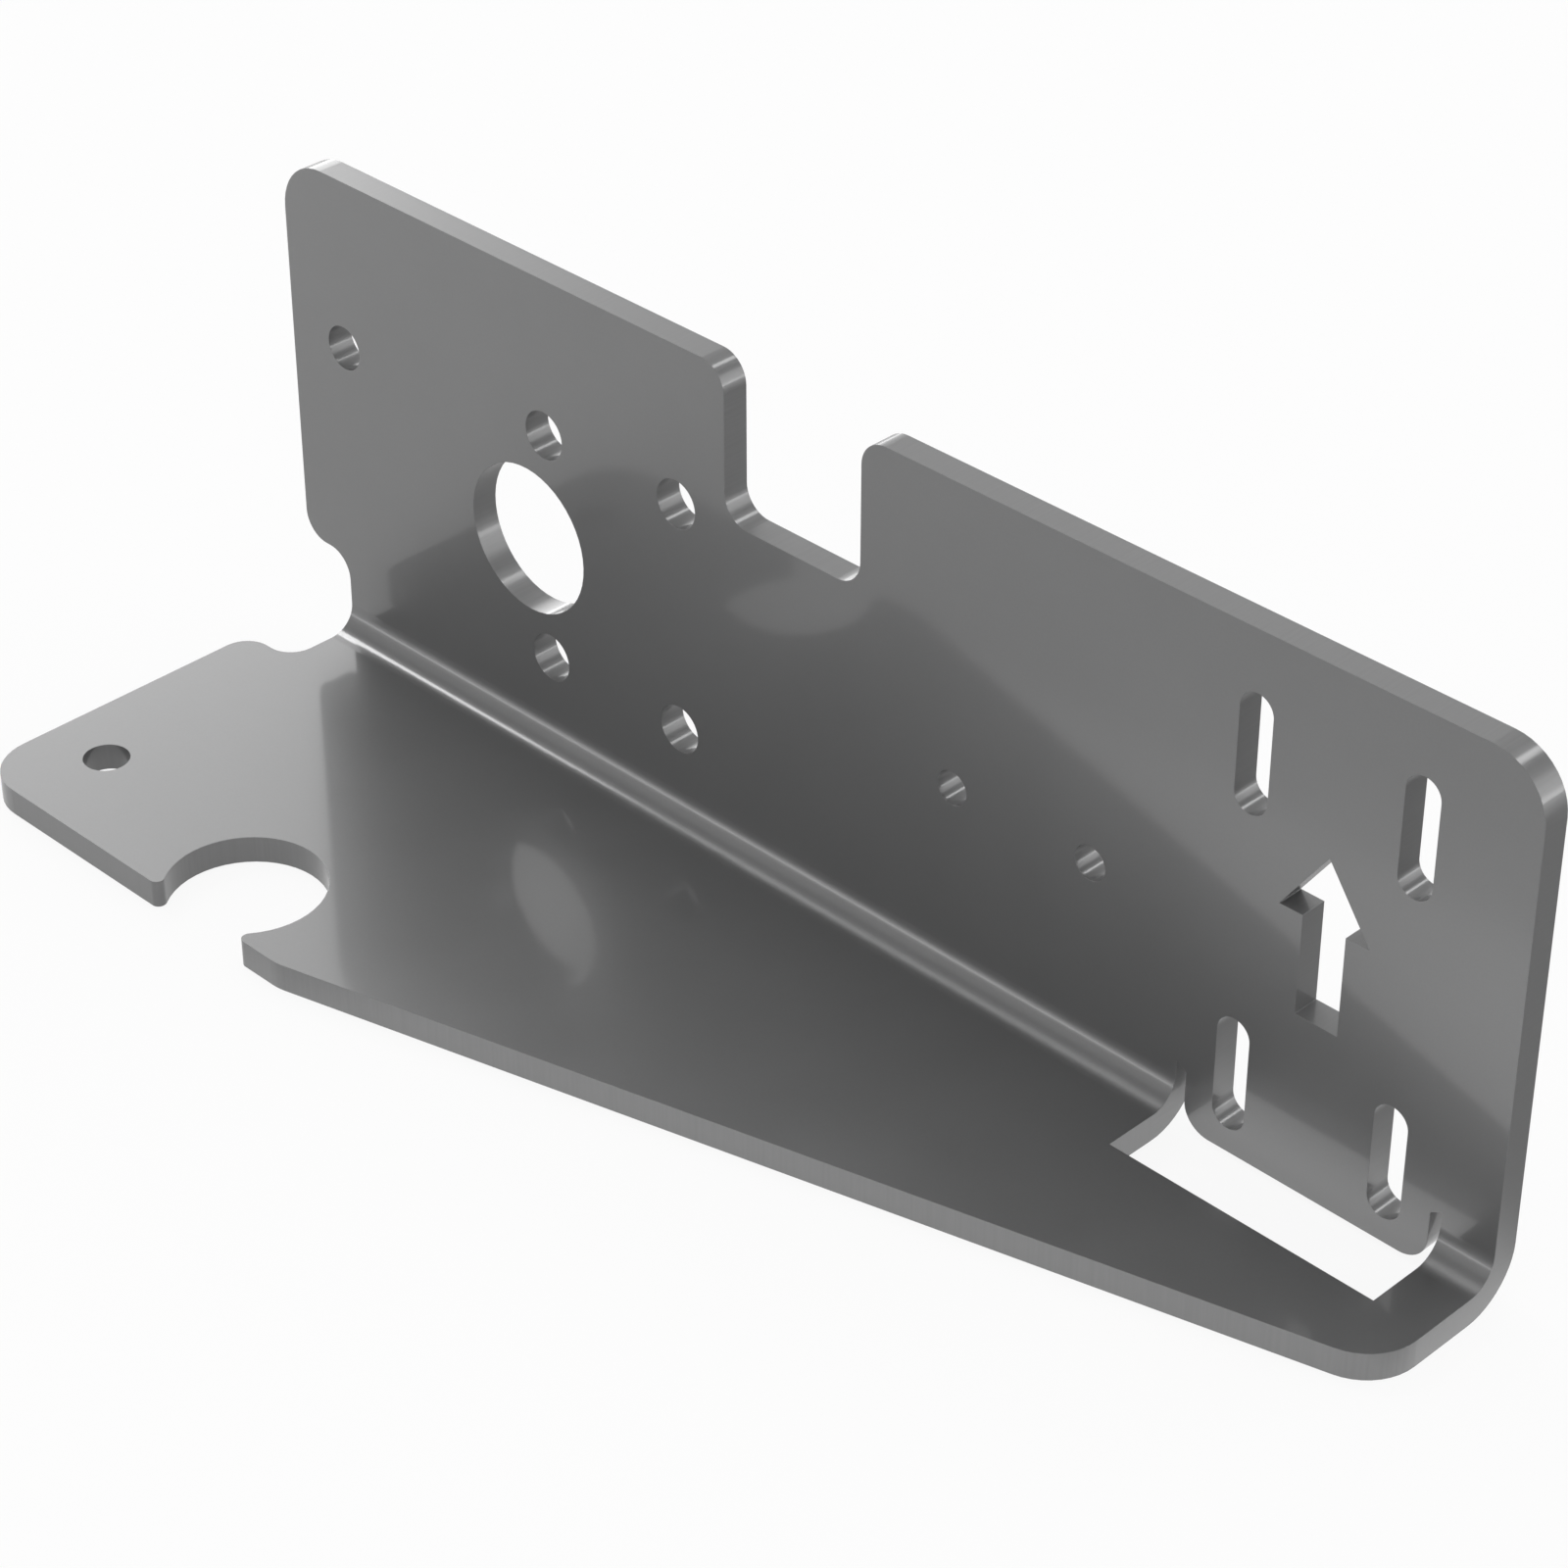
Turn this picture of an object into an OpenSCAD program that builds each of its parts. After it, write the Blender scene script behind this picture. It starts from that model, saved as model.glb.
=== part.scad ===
// Filter mounting bracket: one folded sheet of steel.
// An upright plate and a tapered foot flange share one bend. The upright carries a top notch, four
// adjusting slots, a direction arrow, a large bore and fixing holes. A straight tab hangs from the
// upright through a window in the bend, and the flange has a round hook notch in its front edge.
//
// Working frame: X runs along the bend from the left end, Y = 0 is the upright's inner face with the
// flange towards -Y, and Z = 0 is the flange's upper face. One last move puts the origin under the
// middle of the bounding box, on the flange's underside.

/* [Sheet] */
// Sheet thickness
sheet_t = 3; // [2:0.5:4]
// Length along the bend
length = 160; // [158:0.5:180]
// Upright's height above the flange's upper face
upright_h = 54; // [53:0.5:70]
// Flange's depth in front of the upright's inner face, at the left
flange_d = 45; // [44.5:0.5:50]
// Inside radius of the bend
bend_r = 3; // [1:0.5:3.5]

/* [Outline] */
// Radius of the outer corners
corner_r = 6; // [3:0.5:8]
// Radius of the corners of the top notch and of the end relief
notch_r = 3; // [1:0.5:3]
// Distance from the left end to the start of the flange's slanted edge
slant_x = 48.25; // [47:0.25:60]
// Angle of the flange's slanted edge to the bend
slant_angle = 15; // [8:0.5:15]
// Width of the end relief that clears the bend at the left end
relief_w = 6.75; // [6:0.25:8]
// Reach of the end relief from the bend into the upright and into the flange
relief_d = 9; // [8.5:0.5:10]

/* [Top notch] */
// Distance from the left end to the notch's left side
top_notch_x = 64.5; // [63:0.5:75]
// Width of the notch
top_notch_w = 18; // [12:0.5:24]
// Depth of the notch below the top edge
top_notch_d = 16.5; // [8:0.5:16.5]

/* [Hook notch] */
// Distance from the left end to the notch's centre
hook_x = 36; // [34:0.25:37]
// Distance from the upright's inner face to the notch's centre
hook_y = 38.75; // [37:0.25:40]
// Radius of the notch
hook_r = 8.25; // [7.5:0.25:8.5]
// Radius that rounds the two tips of the notch's mouth
hook_tip_r = 0.8; // [0.3:0.1:1]

/* [Bores] */
// Large bore: distance from the left end
bore_x = 35.9; // [34:0.1:38]
// Large bore: height above the flange's upper face
bore_z = 23.4; // [22:0.1:25]
// Large bore: radius
bore_r = 8.25; // [6:0.25:8.5]
// Bolt holes: distance from the left end to the first column
bolt_x = 38.85; // [38.5:0.05:40]
// Bolt holes: spacing along the bend
bolt_dx = 18.9; // [18:0.1:20]
// Bolt holes: height of the lower row
bolt_z = 10.5; // [10:0.1:11]
// Bolt holes: spacing up the upright
bolt_dz = 26; // [25.5:0.1:26.5]
// Bolt holes: radius
bolt_r = 2.65; // [2:0.05:2.8]
// End holes: distance of both from the left end
end_hole_x = 8.2; // [7:0.1:10]
// End hole in the upright: height above the flange's upper face
end_hole_z = 34.6; // [30:0.1:40]
// End hole in the flange: distance from the upright's inner face
end_hole_y = 34.55; // [30:0.05:36]
// End holes: radius
end_hole_r = 2.45; // [1.5:0.05:3]
// Pilot holes: distance from the left end to the first
pilot_x = 94.7; // [92:0.1:98]
// Pilot holes: spacing along the bend
pilot_dx = 17.25; // [15:0.25:20]
// Pilot holes: height above the flange's upper face
pilot_z = 21.1; // [18:0.1:25]
// Pilot holes: radius
pilot_r = 1.85; // [1:0.05:2.5]

/* [Slots and arrow] */
// Distance from the left end to the middle of the slots, the arrow, the tab and the window
group_x = 138.75; // [138:0.25:139]
// Slots: spacing along the bend
slot_dx = 18; // [16:0.5:19]
// Slots: height of the lower pair's centres
slot_z = 6.62; // [6.5:0.02:8]
// Slots: spacing up the upright
slot_dz = 34.8; // [34:0.1:36]
// Slots: length end to end
slot_l = 12.5; // [8:0.1:12.6]
// Slots: width
slot_w = 3.75; // [3:0.25:4.5]
// Arrow: width of the head
arrow_head_w = 10.1; // [8:0.1:12]
// Arrow: length of the head
arrow_head_l = 7.2; // [6:0.05:8]
// Arrow: width of the shaft
arrow_shaft_w = 4.8; // [3:0.1:6]
// Arrow: length of the shaft
arrow_shaft_l = 10.7; // [8:0.05:12]
// Arrow: height of the shaft's lower end
arrow_z = 17; // [16:0.5:18]

/* [Tab and window] */
// Window: width along the bend
window_w = 30.6; // [30:0.1:31]
// Window: reach in front of the upright's inner face
window_d = 9; // [7:0.5:10]
// Tab: width, which leaves a slit at each side
tab_w = 28.2; // [27:0.1:29]
// Tab: distance of its lower edge below the flange's upper face
tab_drop = 2.25; // [1:0.25:2.5]
// Slits' slanted closed ends: height above the flange's upper face, beside the tab
slit_z = 3.95; // [3.6:0.05:4.2]
// Slits' slanted closed ends: how much higher they are at the window's sides
slit_rise = 0.7; // [0:0.1:1]

/* [Hidden] */
$fn = 96;

// How far a cutter runs past the surface it cuts
over = 1;
// Y of the flange's front edge and of the bend's tangent line
front_y = -flange_d;
bend_y = -bend_r;
window_x = group_x - window_w / 2;
tab_x = group_x - tab_w / 2;

// Section across the bend, drawn with Y to the right and Z up
module sheet_section() {
    translate([0, bend_r]) square([sheet_t, upright_h - bend_r]);
    translate([front_y, -sheet_t]) square([flange_d - bend_r, sheet_t]);
    intersection() {
        translate([bend_y, bend_r])
            difference() {
                circle(bend_r + sheet_t);
                circle(bend_r);
            }
        translate([bend_y, -sheet_t]) square(bend_r + sheet_t);
    }
}

// Runs a section drawn in Y and Z along X
module along_bend(run) {
    rotate([90, 0, 90]) linear_extrude(run) children();
}

// Cuts through the upright: an outline drawn in X and Z, pushed through in Y
module through_upright() {
    translate([0, sheet_t + over, 0]) rotate([90, 0, 0]) linear_extrude(sheet_t + 2 * over) children();
}

// Cuts through the flange: an outline drawn in X and Y, pushed through in Z
module through_flange() {
    translate([0, 0, -sheet_t - over]) linear_extrude(sheet_t + 2 * over) children();
}

// What a round of radius r takes off an outer corner at p, whose two edges leave it at angles a and b
module corner_waste(p, a, b, r) {
    half = (b - a) / 2;
    run = r / tan(half);
    centre = p + r / sin(half) * [cos(a + half), sin(a + half)];
    difference() {
        polygon([p, p + run * [cos(a), sin(a)], centre, p + run * [cos(b), sin(b)]]);
        translate(centre) circle(r);
    }
}

// Notch that opens upwards from depth d below the edge at y = 0, with all four corners rounded
module rounded_notch(w, d, r) {
    translate([r, -d]) square([w - 2 * r, d + over]);
    translate([0, r - d]) square([w, d - r + over]);
    for (x = [r, w - r]) translate([x, r - d]) circle(r);
    corner_waste([0, 0], 180, 270, r);
    corner_waste([w, 0], 270, 360, r);
}

// End relief: open at x = 0 and towards the bend, reaching d from it, with both corners rounded
module end_relief(w, d, r) {
    translate([-over, -sheet_t - over]) square([w - r + over, d + sheet_t + over]);
    translate([-over, -sheet_t - over]) square([w + over, d - r + sheet_t + over]);
    translate([w - r, d - r]) circle(r);
    corner_waste([0, d], 0, 90, r);
}

// Upright's outline: rounded top corners, top notch and end relief
module upright_waste() {
    corner_waste([0, upright_h], 270, 360, corner_r);
    corner_waste([length, upright_h], 180, 270, corner_r);
    translate([top_notch_x, upright_h]) rounded_notch(top_notch_w, top_notch_d, notch_r);
    end_relief(relief_w, relief_d, notch_r);
}

// Flange's outline: rounded front corner, slanted edge with a round at each end, and end relief
module flange_waste() {
    slant_end_y = front_y + (length - slant_x) * tan(slant_angle);
    corner_waste([0, front_y], 0, 90, corner_r);
    polygon([
        [slant_x, front_y],
        [length, slant_end_y],
        [length + over, slant_end_y],
        [length + over, front_y - over],
        [slant_x, front_y - over]
    ]);
    corner_waste([slant_x, front_y], slant_angle, 180, corner_r);
    corner_waste([length, slant_end_y], 90, 180 + slant_angle, corner_r);
    mirror([0, 1]) end_relief(relief_w, relief_d, notch_r);
    hook_notch();
}

// Round notch that breaks through the front edge, with the two tips of its mouth rounded
module hook_notch() {
    tip_y = front_y + hook_tip_r;
    reach = hook_r + hook_tip_r;
    tip_dx = sqrt(reach * reach - pow(tip_y + hook_y, 2));
    translate([hook_x, -hook_y]) circle(hook_r);
    for (side = [-1, 1])
        difference() {
            polygon([
                [hook_x, -hook_y],
                [hook_x + side * tip_dx, tip_y],
                [hook_x + side * tip_dx, front_y - over],
                [hook_x, front_y - over]
            ]);
            translate([hook_x + side * tip_dx, tip_y]) circle(hook_tip_r);
        }
}

// Slot with round ends, centred and standing upright
module slot_outline() {
    straight = slot_l - slot_w;
    translate([-slot_w / 2, -straight / 2]) square([slot_w, straight]);
    for (end = [-1, 1]) translate([0, end * straight / 2]) circle(d = slot_w);
}

// Arrow that points up, with its tail at the origin
module arrow_outline() {
    head_z = arrow_shaft_l;
    polygon([
        [-arrow_shaft_w / 2, 0],
        [arrow_shaft_w / 2, 0],
        [arrow_shaft_w / 2, head_z],
        [arrow_head_w / 2, head_z],
        [0, head_z + arrow_head_l],
        [-arrow_head_w / 2, head_z],
        [-arrow_shaft_w / 2, head_z]
    ]);
}

// Every hole in the upright
module upright_holes() {
    translate([bore_x, bore_z]) circle(bore_r);
    for (i = [0, 1], j = [0, 1])
        translate([bolt_x + i * bolt_dx, bolt_z + j * bolt_dz]) circle(bolt_r);
    translate([end_hole_x, end_hole_z]) circle(end_hole_r);
    for (i = [0, 1]) translate([pilot_x + i * pilot_dx, pilot_z]) circle(pilot_r);
    for (side = [-1, 1], j = [0, 1])
        translate([group_x + side * slot_dx / 2, slot_z + j * slot_dz]) slot_outline();
    translate([group_x, arrow_z]) arrow_outline();
}

// Window through the bend and the flange, which also opens the slits beside the tab
module window_cut() {
    foot_z = -sheet_t - over;
    side_z = slit_z + slit_rise;
    translate([0, sheet_t + over, 0])
        rotate([90, 0, 0])
            linear_extrude(window_d + sheet_t + over)
                polygon([
                    [window_x, foot_z],
                    [window_x + window_w, foot_z],
                    [window_x + window_w, side_z],
                    [tab_x + tab_w, slit_z],
                    [tab_x, slit_z],
                    [window_x, side_z]
                ]);
}

// Tab: the upright carried straight down through the window, with rounded lower corners
module tab() {
    root = slit_z + over;
    translate([0, sheet_t, 0])
        rotate([90, 0, 0])
            linear_extrude(sheet_t)
                difference() {
                    translate([tab_x, -tab_drop]) square([tab_w, root + tab_drop]);
                    corner_waste([tab_x, -tab_drop], 0, 90, notch_r);
                    corner_waste([tab_x + tab_w, -tab_drop], 90, 180, notch_r);
                }
}

module bracket() {
    color([0.48, 0.48, 0.49])
        translate([-length / 2, (flange_d - sheet_t) / 2, sheet_t])
            difference() {
                union() {
                    difference() {
                        along_bend(length) sheet_section();
                        window_cut();
                    }
                    tab();
                }
                through_upright() upright_waste();
                through_upright() upright_holes();
                through_flange() flange_waste();
                through_flange() translate([end_hole_x, -end_hole_y]) circle(end_hole_r);
            }
}

bracket();
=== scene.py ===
"""Looks of a folded sheet steel bracket that stands on a pale studio floor."""
import math

import bpy
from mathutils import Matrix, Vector

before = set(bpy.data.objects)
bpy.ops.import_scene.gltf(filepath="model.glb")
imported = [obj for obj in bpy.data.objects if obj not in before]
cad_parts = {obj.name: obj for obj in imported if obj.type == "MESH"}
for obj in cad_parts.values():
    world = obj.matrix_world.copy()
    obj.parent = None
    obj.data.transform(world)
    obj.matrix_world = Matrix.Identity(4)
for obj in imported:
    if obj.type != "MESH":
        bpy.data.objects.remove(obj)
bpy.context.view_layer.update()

# Photograph's view: azimuth 0 looks along +Y and 90 along -X, and elevation is above the horizon
VIEW_AZIMUTH = 45.0
VIEW_ELEVATION = 34.08
VIEW_DISTANCE = 0.400
VIEW_AIM = Vector((0.00769, 0.00582, 0.02848))
LENS_MM = 100.0
SENSOR_MM = 36.0

CLIP_NEAR = 0.01
CLIP_FAR = 50.0

FLOOR_SIZE = 6.0
FLOOR_GREY = 0.90
# Share of plain white in what the camera, and what a reflection, sees of the floor; the rest is its shaded colour
FLOOR_WHITE = 0.9
FLOOR_WHITE_IN_METAL = 0.9
# Painted shade on the floor that only reflections see, and painted light where the level is above 1: a span in X, a
# span in Y, and the level. A span is where it begins, is full, starts to fade and ends, in metres. None is the whole
# floor, and a span that runs on to the floor's low or high edge ends there.
LOW_EDGE = (-3.0, -2.9)
HIGH_EDGE = (2.9, 3.0)
FLOOR_PAINTED_SHADE_AND_LIGHT = [
    ("floor", None, None, 0.82),
    ("left", (-0.21, -0.11, *HIGH_EDGE), None, 0.86),
    ("front_right", (-0.08, 0.02, *HIGH_EDGE), (*LOW_EDGE, -0.042, -0.030), 0.88),
    ("slanted_edge", (-0.05, -0.025, *HIGH_EDGE), (-0.030, -0.022, 0.03, 0.04), 1.4),
    ("right", (0.080, 0.084, 0.30, 0.40), (-0.02, 0.01, 0.30, 0.40), 0.74),
    ("behind", None, (0.024, 0.034, 0.10, 0.22), 0.55),
]

# Sheet's section in metres: the bend's centre in Y and Z, and the radius of the sheet's middle there
BEND_Y = 0.018
BEND_Z = 0.006
BEND_MIDDLE_R = 0.0045
HALF_SHEET = 0.0015
# Tab: its middle and half its width along the bend
TAB_X = 0.05875
TAB_HALF = 0.0142
# Shares of half the sheet between which a cut wall's mask fades out towards the rolled face
WALL_FADE = (0.96, 0.99)

# Faint bluish tint of the steel's grey
STEEL_TINT = {"Red": 0.995, "Green": 1.0, "Blue": 1.005}
STEEL_GREY = 0.21
STEEL_METALLIC = 0.62
STEEL_ROUGHNESS = 0.35
# How far clouds and rolling lines carry a face's roughness either way, and how much rougher a cut wall gets
FACE_ROUGHNESS_SWING = 0.008
CUT_ROUGHNESS_RISE = 0.06
# Fineness in lumps per metre, how far lines are drawn out, and the span of a noise that its looks are spread over
CLOUD_SCALE = 110.0
GRAIN_SCALE = 5200.0
CUT_LINE_SCALE = 3000.0
ROLLED_STRETCH = 0.02
CUT_STRETCH = 0.03
NOISE_SPAN = (0.3, 0.7)
# Tones as factors on the grey: clouds and grain, cut lines, and a full rim that is worn and also a painted highlight
FACE_TONES = (0.985, 1.015)
CUT_LINE_TONES = (0.94, 1.02)
RIM_WEAR_AND_HIGHLIGHT_TONE = 1.25
# Width of a broken edge in metres, and how like the two normals are where its rim begins and is full
RIM_WIDTH = 0.00014
RIM_LIKENESS = (0.98, 0.80)
# Thin clear film on the steel, which gives its crisp reflections
FILM_ROUGHNESS = 0.08

# Strength of the sky at the skyline, and the soft steps above it by the sine of elevation: begin, end, strength after
SKYLINE = 2.5
SKY_STEPS = [
    ("low", 0.05, 0.14, 0.60),
    ("high", 0.50, 0.66, 0.35),
    ("top", 0.80, 0.94, 1.3),
]
# Soft rectangular panels in the sky, in degrees: azimuth and elevation of the middle, half width, half height and
# soft edge, then the strength
SKY_PANELS = [
    ("left_box", 254, 24, 20.5, 26, 1.5, 1.1),
    ("left_core", 238, 17, 8.5, 15, 2.5, 0.75),
    ("left_strip", 264, 48.5, 9, 3.2, 1.8, 8.0),
    ("back_left_box", 205, 30, 14, 22, 6, 0.25),
    ("back_right_box", 128, 10, 14, 20, 4, 1.0),
    ("back_right_strip", 167, 49, 4.5, 6.5, 2, 5.0),
]
# Least part of a look direction along a panel's middle, which keeps the panel out of the sky opposite
PANEL_FRONT = 0.001


def direction(azimuth, elevation):
    """Unit vector from the object towards a lamp or the camera, by the angles that VIEW_AZIMUTH uses."""
    a, e = math.radians(azimuth), math.radians(elevation)
    return Vector((math.sin(a) * math.cos(e), -math.cos(a) * math.cos(e), math.sin(e)))


def node_group(name, inputs, outputs):
    """Empty node group with (socket name, kind) lists, returned with its input and output nodes."""
    tree = bpy.data.node_groups.new(name, "ShaderNodeTree")
    for socket_name, kind in inputs:
        tree.interface.new_socket(name=socket_name, in_out="INPUT", socket_type=kind)
    for socket_name, kind in outputs:
        tree.interface.new_socket(name=socket_name, in_out="OUTPUT", socket_type=kind)
    return tree, tree.nodes.new("NodeGroupInput"), tree.nodes.new("NodeGroupOutput")


def put(tree, target, value):
    """Feeds a socket with a number, a vector or another node's output."""
    if isinstance(value, bpy.types.NodeSocket):
        tree.links.new(value, target)
    else:
        target.default_value = value


def calc(tree, operation, a, b=0.0, c=0.0):
    """Result of one Math node."""
    node = tree.nodes.new("ShaderNodeMath")
    node.operation = operation
    for socket, value in zip(node.inputs, (a, b, c)):
        put(tree, socket, value)
    return node.outputs[0]


def remap(tree, value, low, high, to_low, to_high, smooth=False):
    """Value carried from the span low..high to the span to_low..to_high, held at both ends."""
    node = tree.nodes.new("ShaderNodeMapRange")
    node.interpolation_type = "SMOOTHSTEP" if smooth else "LINEAR"
    spans = {"Value": value, "From Min": low, "From Max": high, "To Min": to_low, "To Max": to_high}
    for name, number in spans.items():
        put(tree, node.inputs[name], number)
    return node.outputs["Result"]


def spread(tree, value, low, high):
    """Noise carried from NOISE_SPAN to the span low..high."""
    return remap(tree, value, *NOISE_SPAN, low, high)


def blend(tree, share, at_zero, at_one):
    """Number between two others, by a share from 0 to 1."""
    node = tree.nodes.new("ShaderNodeMix")
    for name, value in (("Factor", share), ("A", at_zero), ("B", at_one)):
        put(tree, node.inputs[name], value)
    return node.outputs["Result"]


def separated(tree, vector):
    """Outputs X, Y and Z of a vector."""
    node = tree.nodes.new("ShaderNodeSeparateXYZ")
    put(tree, node.inputs["Vector"], vector)
    return node.outputs


def dotted(tree, a, b):
    """Dot product of two vectors."""
    node = tree.nodes.new("ShaderNodeVectorMath")
    node.operation = "DOT_PRODUCT"
    put(tree, node.inputs[0], a)
    put(tree, node.inputs[1], b)
    return node.outputs["Value"]


def grey_colour(tree, value, tint):
    """Colour with each channel the value times its share in tint."""
    node = tree.nodes.new("ShaderNodeCombineColor")
    for channel, share in tint.items():
        put(tree, node.inputs[channel], calc(tree, "MULTIPLY", value, share))
    return node.outputs["Color"]


def span(tree, value, begin, full, fade, end):
    """Mask that rises softly from begin to full, stays at 1, and falls softly from fade to end."""
    rise = remap(tree, value, begin, full, 0.0, 1.0, True)
    fall = remap(tree, value, fade, end, 1.0, 0.0, True)
    return calc(tree, "MULTIPLY", rise, fall)


def noise(tree, place, scale, detail, stretch=(1.0, 1.0, 1.0)):
    """Noise between 0 and 1 at a place in metres, with scale in lumps per metre and a factor on it for each axis."""
    mapping = tree.nodes.new("ShaderNodeMapping")
    mapping.inputs["Scale"].default_value = stretch
    put(tree, mapping.inputs["Vector"], place)
    node = tree.nodes.new("ShaderNodeTexNoise")
    tree.links.new(mapping.outputs["Vector"], node.inputs["Vector"])
    put(tree, node.inputs["Scale"], scale)
    node.inputs["Detail"].default_value = detail
    return node.outputs["Fac"]


def cut_wall_group():
    """Mask that is 1 on the cut walls of the folded sheet and 0 on its two rolled faces.

    The distance r from the bend's centre, taken as length(max(y, 0), min(z, 0)), runs on straight into the upright
    and the foot. It is BEND_MIDDLE_R in the middle of the sheet and HALF_SHEET away from that on a rolled face. The
    tab goes on straight below the bend, so its z counts as 0.
    """
    tree, given, out = node_group("cut_wall", [("Place", "NodeSocketVector")], [("Mask", "NodeSocketFloat")])
    place = separated(tree, given.outputs["Place"])
    y = calc(tree, "MAXIMUM", calc(tree, "SUBTRACT", place["Y"], BEND_Y), 0.0)
    z = calc(tree, "MINIMUM", calc(tree, "SUBTRACT", place["Z"], BEND_Z), 0.0)
    off_middle = calc(tree, "ABSOLUTE", calc(tree, "SUBTRACT", place["X"], TAB_X))
    on_tab = calc(tree, "MULTIPLY", calc(tree, "LESS_THAN", off_middle, TAB_HALF), calc(tree, "GREATER_THAN", y, 0.0))
    z = calc(tree, "MULTIPLY", z, calc(tree, "SUBTRACT", 1.0, on_tab))
    r = calc(tree, "SQRT", calc(tree, "ADD", calc(tree, "MULTIPLY", y, y), calc(tree, "MULTIPLY", z, z)))
    depth = calc(tree, "ABSOLUTE", calc(tree, "SUBTRACT", r, BEND_MIDDLE_R))
    inner, outer = (share * HALF_SHEET for share in WALL_FADE)
    put(tree, out.inputs["Mask"], remap(tree, depth, inner, outer, 1.0, 0.0, True))
    return tree


def rolled_grain_group():
    """Rolled sheet: Clouds some millimetres across, fine Grain, and faint Lines drawn out along X."""
    tree, given, out = node_group(
        "rolled_grain",
        [("Place", "NodeSocketVector"), ("Cloud Scale", "NodeSocketFloat"), ("Grain Scale", "NodeSocketFloat")],
        [("Clouds", "NodeSocketFloat"), ("Grain", "NodeSocketFloat"), ("Lines", "NodeSocketFloat")])
    place, cloud_scale, grain_scale = (given.outputs[name] for name in ("Place", "Cloud Scale", "Grain Scale"))
    put(tree, out.inputs["Clouds"], noise(tree, place, cloud_scale, 3.0))
    put(tree, out.inputs["Grain"], noise(tree, place, grain_scale, 2.0))
    put(tree, out.inputs["Lines"], noise(tree, place, grain_scale, 3.0, stretch=(ROLLED_STRETCH, 1.0, 1.0)))
    return tree


def cut_lines_group():
    """Cut walls: fine lines through the sheet's thickness, along Y in the upright and along Z in the foot."""
    tree, given, out = node_group(
        "cut_lines", [("Place", "NodeSocketVector"), ("Scale", "NodeSocketFloat")], [("Lines", "NodeSocketFloat")])
    place, scale = given.outputs["Place"], given.outputs["Scale"]
    in_upright = calc(tree, "GREATER_THAN", separated(tree, place)["Y"], BEND_Y)
    through_y = noise(tree, place, scale, 2.0, stretch=(1.0, CUT_STRETCH, 1.0))
    through_z = noise(tree, place, scale, 2.0, stretch=(1.0, 1.0, CUT_STRETCH))
    put(tree, out.inputs["Lines"], blend(tree, in_upright, through_z, through_y))
    return tree


def worn_rim_and_highlight_group():
    """Softly broken edges: the rounded edge's Normal, and the Mask of its rim, for wear and a painted highlight."""
    tree, given, out = node_group(
        "worn_rim_and_highlight", [("Width", "NodeSocketFloat")], [("Mask", "NodeSocketFloat"), ("Normal", "NodeSocketVector")])
    rounded = tree.nodes.new("ShaderNodeBevel")
    rounded.samples = 2
    tree.links.new(given.outputs["Width"], rounded.inputs["Radius"])
    surface = tree.nodes.new("ShaderNodeNewGeometry")
    likeness = dotted(tree, rounded.outputs["Normal"], surface.outputs["Normal"])
    put(tree, out.inputs["Mask"], remap(tree, likeness, *RIM_LIKENESS, 0.0, 1.0, True))
    put(tree, out.inputs["Normal"], rounded.outputs["Normal"])
    return tree


def new_material(name):
    """Empty node material with its output node."""
    material = bpy.data.materials.new(name)
    material.use_nodes = True
    material.node_tree.nodes.clear()
    return material, material.node_tree


def placed(tree, group, **values):
    """One node of a group, with its inputs fed."""
    node = tree.nodes.new("ShaderNodeGroup")
    node.node_tree = group
    for name, value in values.items():
        put(tree, node.inputs[name.replace("_", " ")], value)
    return node.outputs


def bare_steel():
    """Satin sheet steel under a thin clear film, with rolled faces, lined cut walls, and worn rims with a painted
    highlight.
    """
    material, tree = new_material("bare_steel")
    place = tree.nodes.new("ShaderNodeTexCoord").outputs["Object"]
    wall = placed(tree, cut_wall_group(), Place=place)["Mask"]
    rolled = placed(tree, rolled_grain_group(), Place=place, Cloud_Scale=CLOUD_SCALE, Grain_Scale=GRAIN_SCALE)
    cut = placed(tree, cut_lines_group(), Place=place, Scale=CUT_LINE_SCALE)["Lines"]
    rim = placed(tree, worn_rim_and_highlight_group(), Width=RIM_WIDTH)

    # Grey: clouds and grain on the faces, lines on the walls, and rims brighter from wear and a painted highlight
    face = calc(tree, "MULTIPLY", *(spread(tree, rolled[name], *FACE_TONES) for name in ("Clouds", "Grain")))
    lined = spread(tree, cut, *CUT_LINE_TONES)
    tone = calc(tree, "MULTIPLY", blend(tree, wall, face, lined), remap(tree, rim["Mask"], 0.0, 1.0, 1.0, RIM_WEAR_AND_HIGHLIGHT_TONE))
    tint = {channel: STEEL_GREY * share for channel, share in STEEL_TINT.items()}

    # Roughness: the faces vary a little with the clouds and rolling lines, and the walls are rougher
    swing = FACE_ROUGHNESS_SWING
    satin = calc(tree, "ADD", spread(tree, rolled["Clouds"], STEEL_ROUGHNESS - swing, STEEL_ROUGHNESS + swing),
                 spread(tree, rolled["Lines"], -swing, swing))
    rough_cut = spread(tree, cut, STEEL_ROUGHNESS, STEEL_ROUGHNESS + CUT_ROUGHNESS_RISE)

    steel = tree.nodes.new("ShaderNodeBsdfPrincipled")
    steel.inputs["Metallic"].default_value = STEEL_METALLIC
    put(tree, steel.inputs["Base Color"], grey_colour(tree, tone, tint))
    put(tree, steel.inputs["Roughness"], blend(tree, wall, satin, rough_cut))
    put(tree, steel.inputs["Normal"], rim["Normal"])
    steel.inputs["Coat Weight"].default_value = 1.0
    steel.inputs["Coat Roughness"].default_value = FILM_ROUGHNESS
    out = tree.nodes.new("ShaderNodeOutputMaterial")
    put(tree, out.inputs["Surface"], steel.outputs["BSDF"])
    return material


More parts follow.
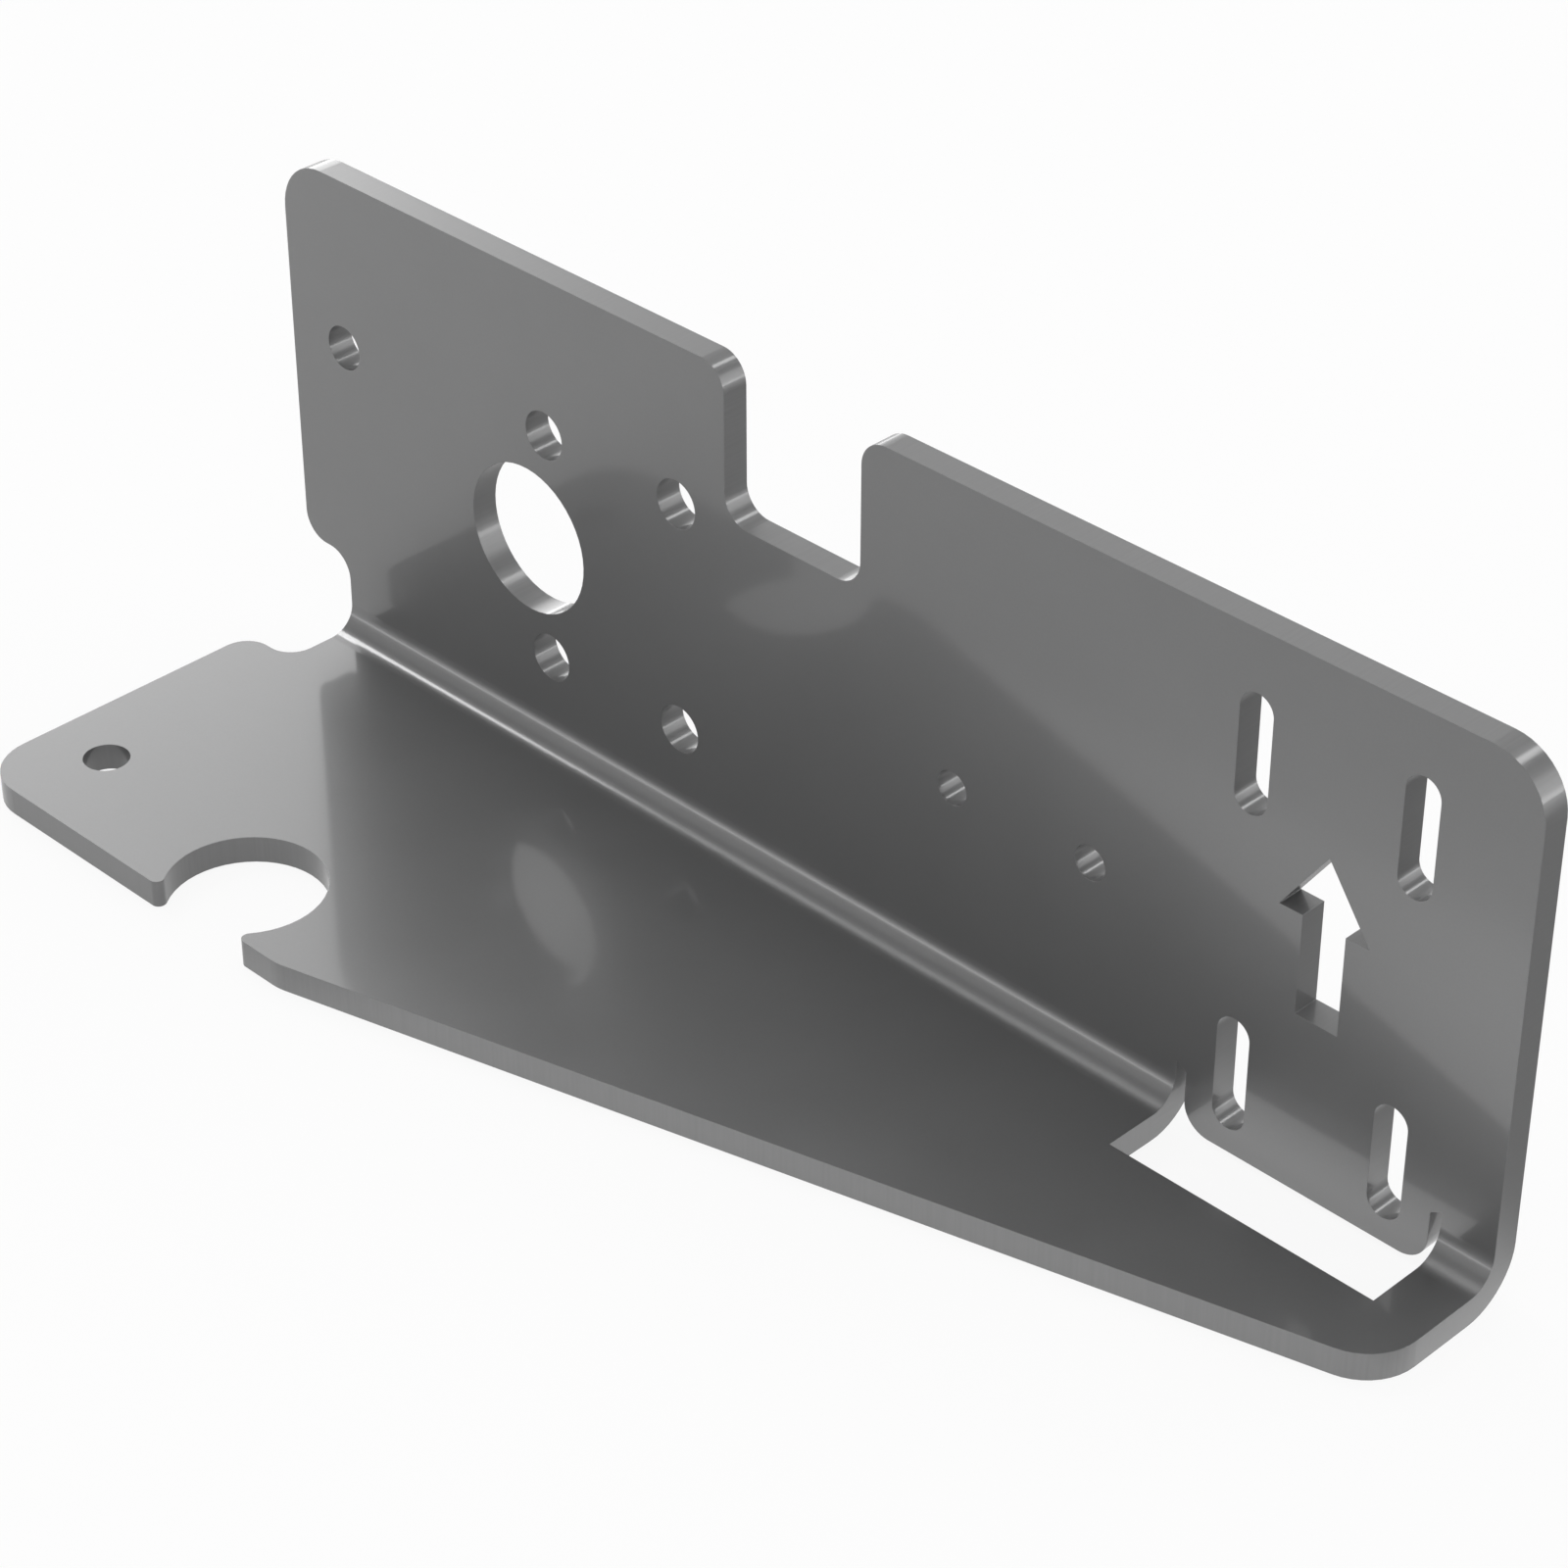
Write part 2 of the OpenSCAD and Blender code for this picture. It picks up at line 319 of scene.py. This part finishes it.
def studio_floor():
    """Plain white floor: nearly even white where seen, shaded paper for all other light, painted shade and light in
    reflections.
    """
    half = FLOOR_SIZE / 2
    mesh = bpy.data.meshes.new("floor")
    mesh.from_pydata([(-half, -half, 0), (half, -half, 0), (half, half, 0), (-half, half, 0)], [], [(0, 1, 2, 3)])
    floor = bpy.data.objects.new("floor", mesh)
    bpy.context.scene.collection.objects.link(floor)
    material, tree = new_material("floor_paper")
    path = tree.nodes.new("ShaderNodeLightPath")
    in_mirror = calc(tree, "MAXIMUM", path.outputs["Is Glossy Ray"], path.outputs["Is Transmission Ray"])
    white_share = calc(tree, "MAXIMUM", calc(tree, "MULTIPLY", path.outputs["Is Camera Ray"], FLOOR_WHITE),
                       calc(tree, "MULTIPLY", in_mirror, FLOOR_WHITE_IN_METAL))
    place = separated(tree, tree.nodes.new("ShaderNodeTexCoord").outputs["Object"])
    level = 1.0
    # Painted shade and painted light on the floor by place, which only reflections see
    for name, across, along, shade in FLOOR_PAINTED_SHADE_AND_LIGHT:
        patch = in_mirror
        for axis, limits in (("X", across), ("Y", along)):
            if limits:
                patch = calc(tree, "MULTIPLY", patch, span(tree, place[axis], *limits))
        painted_shade_and_light = remap(tree, patch, 0.0, 1.0, 1.0, shade)
        painted_shade_and_light.node.label = name
        level = calc(tree, "MULTIPLY", level, painted_shade_and_light)
    paper = tree.nodes.new("ShaderNodeBsdfDiffuse")
    even_grey = dict.fromkeys(("Red", "Green", "Blue"), FLOOR_GREY)
    put(tree, paper.inputs["Color"], grey_colour(tree, level, even_grey))
    white = tree.nodes.new("ShaderNodeEmission")
    put(tree, white.inputs["Strength"], level)
    mix = tree.nodes.new("ShaderNodeMixShader")
    put(tree, mix.inputs["Fac"], white_share)
    put(tree, mix.inputs[1], paper.outputs["BSDF"])
    put(tree, mix.inputs[2], white.outputs["Emission"])
    out = tree.nodes.new("ShaderNodeOutputMaterial")
    put(tree, out.inputs["Surface"], mix.outputs["Shader"])
    mesh.materials.append(material)


def panel_group():
    """Mask of a soft flat rectangle in the surroundings, by where the Look direction meets the panel's own plane."""
    tree, given, out = node_group(
        "soft_panel",
        [("Look", "NodeSocketVector"), ("Middle", "NodeSocketVector"), ("Side", "NodeSocketVector"),
         ("Rise", "NodeSocketVector"), ("Half Width", "NodeSocketFloat"), ("Half Height", "NodeSocketFloat"),
         ("Soft", "NodeSocketFloat")],
        [("Mask", "NodeSocketFloat")])
    along = {name: dotted(tree, given.outputs["Look"], given.outputs[name]) for name in ("Middle", "Side", "Rise")}
    ahead = calc(tree, "MAXIMUM", along["Middle"], PANEL_FRONT)
    spans = []
    for name, half in (("Side", "Half Width"), ("Rise", "Half Height")):
        off = calc(tree, "DIVIDE", calc(tree, "ABSOLUTE", along[name]), ahead)
        inner = calc(tree, "SUBTRACT", given.outputs[half], given.outputs["Soft"])
        outer = calc(tree, "ADD", given.outputs[half], given.outputs["Soft"])
        spans.append(remap(tree, off, inner, outer, 1.0, 0.0, True))
    put(tree, out.inputs["Mask"], calc(tree, "MULTIPLY", *spans))
    return tree


def studio_world():
    """Pale surroundings, graded from the horizon to the top, with soft panels of light in them."""
    world = bpy.data.worlds.new("studio")
    world.use_nodes = True
    tree = world.node_tree
    tree.nodes.clear()
    look = tree.nodes.new("ShaderNodeTexCoord").outputs["Generated"]
    height = separated(tree, look)["Z"]
    panel_shape = panel_group()
    light = before = SKYLINE
    for name, begin, end, strength in SKY_STEPS:
        step = remap(tree, height, begin, end, 0.0, strength - before, True)
        step.node.label = name
        light = calc(tree, "ADD", light, step)
        before = strength
    for name, azimuth, elevation, half_width, half_height, soft, strength in SKY_PANELS:
        panel = placed(tree, panel_shape, Look=look, Middle=direction(azimuth, elevation),
                       Side=direction(azimuth + 90.0, 0.0), Rise=direction(azimuth, elevation + 90.0),
                       Half_Width=math.tan(math.radians(half_width)), Half_Height=math.tan(math.radians(half_height)),
                       Soft=math.tan(math.radians(soft)))["Mask"]
        panel.node.label = name
        light = calc(tree, "MULTIPLY_ADD", panel, strength, light)
    background = tree.nodes.new("ShaderNodeBackground")
    put(tree, background.inputs["Strength"], light)
    background.inputs["Color"].default_value = (1.0, 1.0, 1.0, 1.0)
    out = tree.nodes.new("ShaderNodeOutputWorld")
    put(tree, out.inputs["Surface"], background.outputs["Background"])
    bpy.context.scene.world = world


def photo_camera():
    """Camera at the photograph's viewing angle."""
    camera = bpy.data.cameras.new("camera")
    camera.lens = LENS_MM
    camera.sensor_width = SENSOR_MM
    camera.clip_start = CLIP_NEAR
    camera.clip_end = CLIP_FAR
    camera_object = bpy.data.objects.new("camera", camera)
    bpy.context.scene.collection.objects.link(camera_object)
    back = direction(VIEW_AZIMUTH, VIEW_ELEVATION)
    camera_object.location = VIEW_AIM + back * VIEW_DISTANCE
    camera_object.rotation_euler = back.to_track_quat("Z", "Y").to_euler()
    bpy.context.scene.camera = camera_object


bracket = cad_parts["bracket"]
steel = bare_steel()
for slot in bracket.material_slots:
    slot.material = steel

studio_floor()
studio_world()
photo_camera()
bpy.context.scene.view_settings.view_transform = "Standard"
